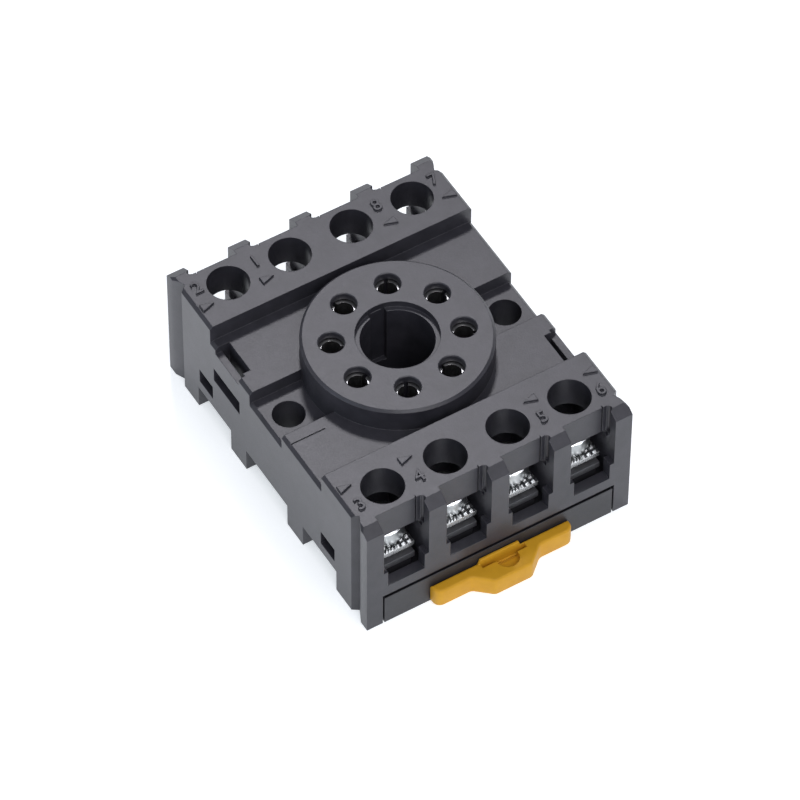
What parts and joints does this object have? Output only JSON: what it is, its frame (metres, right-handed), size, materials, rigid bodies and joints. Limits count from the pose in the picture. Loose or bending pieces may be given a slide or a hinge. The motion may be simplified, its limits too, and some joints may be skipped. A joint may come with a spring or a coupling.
{
  "type": "relay socket",
  "caption": "Octal plug-in relay socket with screw terminals in two rows, a round pin face with a keyed centre hole, and a sliding clip for rail mounting.",
  "frame": {"origin": "on the pin circle's axis, in the plane where the socket sits on its rail", "axes": "+Z out of the plug face, -Y towards the end with the rail clip, +Y towards the key slot"},
  "size_m": [0.04, 0.055, 0.0211],
  "materials": {
    "body_plastic": "dark grey moulded thermoplastic, lightly grained",
    "clip_plastic": "amber yellow moulded plastic",
    "screw_steel": "bright zinc plated steel",
    "clamp_steel": "bright zinc plated steel, serrated",
    "strip_metal": "tinned sheet metal",
    "contact_metal": "nickel plated spring metal"
  },
  "bodies": {
    "socket": {"housing": "body_plastic", "base_cover": "body_plastic", "terminal_strip_1": "strip_metal", "terminal_strip_2": "strip_metal", "terminal_strip_3": "strip_metal", "terminal_strip_4": "strip_metal", "terminal_strip_5": "strip_metal", "terminal_strip_6": "strip_metal", "terminal_strip_7": "strip_metal", "terminal_strip_8": "strip_metal", "pin_contact_1": "contact_metal", "pin_contact_2": "contact_metal", "pin_contact_3": "contact_metal", "pin_contact_4": "contact_metal", "pin_contact_5": "contact_metal", "pin_contact_6": "contact_metal", "pin_contact_7": "contact_metal", "pin_contact_8": "contact_metal"},
    "clip": {"rail_clip": "clip_plastic"},
    "clamp_1": {"clamp_plate_1": "clamp_steel"},
    "screw_1": {"terminal_screw_1": "screw_steel"},
    "clamp_2": {"clamp_plate_2": "clamp_steel"},
    "screw_2": {"terminal_screw_2": "screw_steel"},
    "clamp_3": {"clamp_plate_3": "clamp_steel"},
    "screw_3": {"terminal_screw_3": "screw_steel"},
    "clamp_4": {"clamp_plate_4": "clamp_steel"},
    "screw_4": {"terminal_screw_4": "screw_steel"},
    "clamp_5": {"clamp_plate_5": "clamp_steel"},
    "screw_5": {"terminal_screw_5": "screw_steel"},
    "clamp_6": {"clamp_plate_6": "clamp_steel"},
    "screw_6": {"terminal_screw_6": "screw_steel"},
    "clamp_7": {"clamp_plate_7": "clamp_steel"},
    "screw_7": {"terminal_screw_7": "screw_steel"},
    "clamp_8": {"clamp_plate_8": "clamp_steel"},
    "screw_8": {"terminal_screw_8": "screw_steel"}
  },
  "joints": [
    {"name": "rail_clip_slide", "type": "slide", "parent": "socket", "child": "clip", "axis": [0, -1, 0], "range_m": [0, 0.0025], "stiffness_N_per_m": 400, "springref_m": -0.001},
    {"name": "clamp_lift_1", "type": "slide", "parent": "socket", "child": "clamp_1", "axis": [0, 0, 1], "range_m": [-0.0014, 0.001]},
    {"name": "screw_turn_1", "type": "hinge", "parent": "clamp_1", "child": "screw_1", "pos_m": [-0.00469, 0.01958, 0.008], "axis": [0, 0, 1], "range_deg": [-841, 601]},
    {"name": "clamp_lift_2", "type": "slide", "parent": "socket", "child": "clamp_2", "axis": [0, 0, 1], "range_m": [-0.0014, 0.001]},
    {"name": "screw_turn_2", "type": "hinge", "parent": "clamp_2", "child": "screw_2", "pos_m": [-0.01408, 0.01958, 0.008], "axis": [0, 0, 1], "range_deg": [-841, 601]},
    {"name": "clamp_lift_3", "type": "slide", "parent": "socket", "child": "clamp_3", "axis": [0, 0, 1], "range_m": [-0.0014, 0.001]},
    {"name": "screw_turn_3", "type": "hinge", "parent": "clamp_3", "child": "screw_3", "pos_m": [-0.01408, -0.01958, 0.008], "axis": [0, 0, 1], "range_deg": [-841, 601]},
    {"name": "clamp_lift_4", "type": "slide", "parent": "socket", "child": "clamp_4", "axis": [0, 0, 1], "range_m": [-0.0014, 0.001]},
    {"name": "screw_turn_4", "type": "hinge", "parent": "clamp_4", "child": "screw_4", "pos_m": [-0.00469, -0.01958, 0.008], "axis": [0, 0, 1], "range_deg": [-841, 601]},
    {"name": "clamp_lift_5", "type": "slide", "parent": "socket", "child": "clamp_5", "axis": [0, 0, 1], "range_m": [-0.0014, 0.001]},
    {"name": "screw_turn_5", "type": "hinge", "parent": "clamp_5", "child": "screw_5", "pos_m": [0.00469, -0.01958, 0.008], "axis": [0, 0, 1], "range_deg": [-841, 601]},
    {"name": "clamp_lift_6", "type": "slide", "parent": "socket", "child": "clamp_6", "axis": [0, 0, 1], "range_m": [-0.0014, 0.001]},
    {"name": "screw_turn_6", "type": "hinge", "parent": "clamp_6", "child": "screw_6", "pos_m": [0.01408, -0.01958, 0.008], "axis": [0, 0, 1], "range_deg": [-841, 601]},
    {"name": "clamp_lift_7", "type": "slide", "parent": "socket", "child": "clamp_7", "axis": [0, 0, 1], "range_m": [-0.0014, 0.001]},
    {"name": "screw_turn_7", "type": "hinge", "parent": "clamp_7", "child": "screw_7", "pos_m": [0.01408, 0.01958, 0.008], "axis": [0, 0, 1], "range_deg": [-841, 601]},
    {"name": "clamp_lift_8", "type": "slide", "parent": "socket", "child": "clamp_8", "axis": [0, 0, 1], "range_m": [-0.0014, 0.001]},
    {"name": "screw_turn_8", "type": "hinge", "parent": "clamp_8", "child": "screw_8", "pos_m": [0.00469, 0.01958, 0.008], "axis": [0, 0, 1], "range_deg": [-841, 601]}
  ],
  "couplings": [
    {"joint": "screw_turn_1", "follows": "clamp_lift_1", "rad_per_m": 10472},
    {"joint": "screw_turn_2", "follows": "clamp_lift_2", "rad_per_m": 10472},
    {"joint": "screw_turn_3", "follows": "clamp_lift_3", "rad_per_m": 10472},
    {"joint": "screw_turn_4", "follows": "clamp_lift_4", "rad_per_m": 10472},
    {"joint": "screw_turn_5", "follows": "clamp_lift_5", "rad_per_m": 10472},
    {"joint": "screw_turn_6", "follows": "clamp_lift_6", "rad_per_m": 10472},
    {"joint": "screw_turn_7", "follows": "clamp_lift_7", "rad_per_m": 10472},
    {"joint": "screw_turn_8", "follows": "clamp_lift_8", "rad_per_m": 10472}
  ]
}
